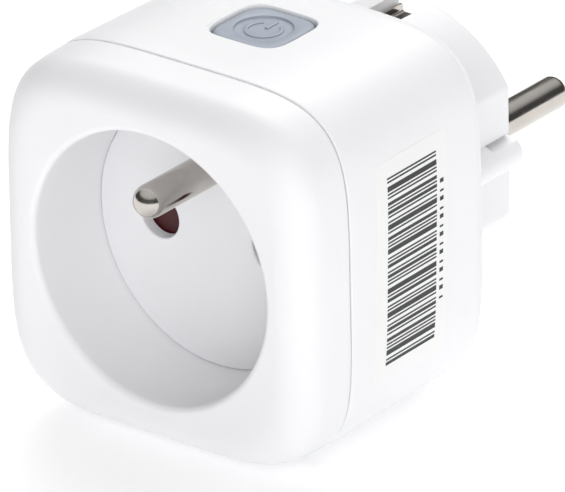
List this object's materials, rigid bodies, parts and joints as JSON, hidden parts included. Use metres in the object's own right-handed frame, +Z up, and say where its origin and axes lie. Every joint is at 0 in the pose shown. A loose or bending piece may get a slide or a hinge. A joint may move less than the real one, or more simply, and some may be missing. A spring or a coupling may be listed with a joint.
{
  "type": "plug in power meter",
  "caption": "Cube-shaped mains through-socket that measures and switches the appliance plugged into it: recessed earthed socket in front, round plug behind, push button on top.",
  "frame": {"origin": "under the middle of the part, on the plane that it rests on", "axes": "+Z up through the power button, -Y out of the socket, +Y along the plug's pins, +X to the right of the socket seen from the front"},
  "size_m": [0.0536, 0.0802, 0.0535],
  "materials": {
    "case_plastic": "smooth white moulded plastic with a fine satin grain",
    "socket_plastic": "satin white moulded plastic",
    "button_plastic": "translucent blue-grey plastic, polished",
    "shutter_plastic": "deep red moulded plastic",
    "nickel_plate": "nickel plated, slightly brushed along its length",
    "brass": "bare stamped brass",
    "steel": "zinc plated steel",
    "copper": "bare copper",
    "circuit_board": "green solder mask on glass laminate",
    "black_plastic": "black moulded casing",
    "blue_coating": "blue epoxy dip",
    "insulator": "cream heat-proof insulator",
    "led_lens": "milky lens",
    "label_paper": "matte printed paper label"
  },
  "bodies": {
    "housing": {"bridge_rectifier": "black_plastic", "bus_inductor": "black_plastic", "button_guide": "case_plastic", "case_screw_1": "steel", "case_screw_2": "steel", "case_screw_3": "steel", "case_screw_4": "steel", "contact_carrier": "socket_plastic", "control_board": "circuit_board", "current_shunt": "copper", "earth_bridge": "brass", "earth_clip_bottom": "nickel_plate", "earth_clip_top": "nickel_plate", "earth_link": "brass", "earth_sleeve": "brass", "filter_capacitor": "black_plastic", "front_cover": "case_plastic", "fuse_resistor": "insulator", "line_busbar": "copper", "line_pin": "nickel_plate", "line_socket_contact": "brass", "main_board": "circuit_board", "metering_chip": "black_plastic", "neutral_busbar": "copper", "neutral_pin": "nickel_plate", "neutral_socket_contact": "brass", "pin_carrier": "insulator", "plug_end_plate": "case_plastic", "plug_neck": "case_plastic", "rear_housing": "case_plastic", "relay_base": "black_plastic", "relay_case": "black_plastic", "relay_coil": "copper", "relay_contact_blade": "copper", "relay_yoke": "steel", "shutter_spring": "steel", "side_label": "label_paper", "socket_earth_pin": "nickel_plate", "socket_plate": "socket_plastic", "status_led": "led_lens", "tact_switch_body": "black_plastic", "varistor": "blue_coating", "wifi_board": "circuit_board", "wifi_shield": "steel"},
    "power_button": {"power_button": "button_plastic"},
    "switch_plunger": {"tact_switch_plunger": "black_plastic"},
    "shutter": {"shutter": "shutter_plastic"},
    "relay_armature": {"relay_armature": "steel"}
  },
  "joints": [
    {"name": "power_button_press", "type": "slide", "parent": "housing", "child": "power_button", "axis": [0, 0, -1], "range_m": [0, 0.0005], "stiffness_N_per_m": 400},
    {"name": "switch_plunger_press", "type": "slide", "parent": "housing", "child": "switch_plunger", "axis": [0, 0, -1], "range_m": [0, 0.0005]},
    {"name": "shutter_turn", "type": "hinge", "parent": "housing", "child": "shutter", "pos_m": [0, -0.0213, 0.02675], "axis": [0, 1, 0], "range_deg": [0, 48], "stiffness_Nm_per_rad": 0.004},
    {"name": "relay_armature_swing", "type": "hinge", "parent": "housing", "child": "relay_armature", "pos_m": [0.001, 0.0103, 0.0186], "axis": [0, 0, 1], "range_deg": [0, 2.8], "stiffness_Nm_per_rad": 0.02}
  ],
  "couplings": [
    {"joint": "switch_plunger_press", "follows": "power_button_press", "ratio": 1}
  ]
}
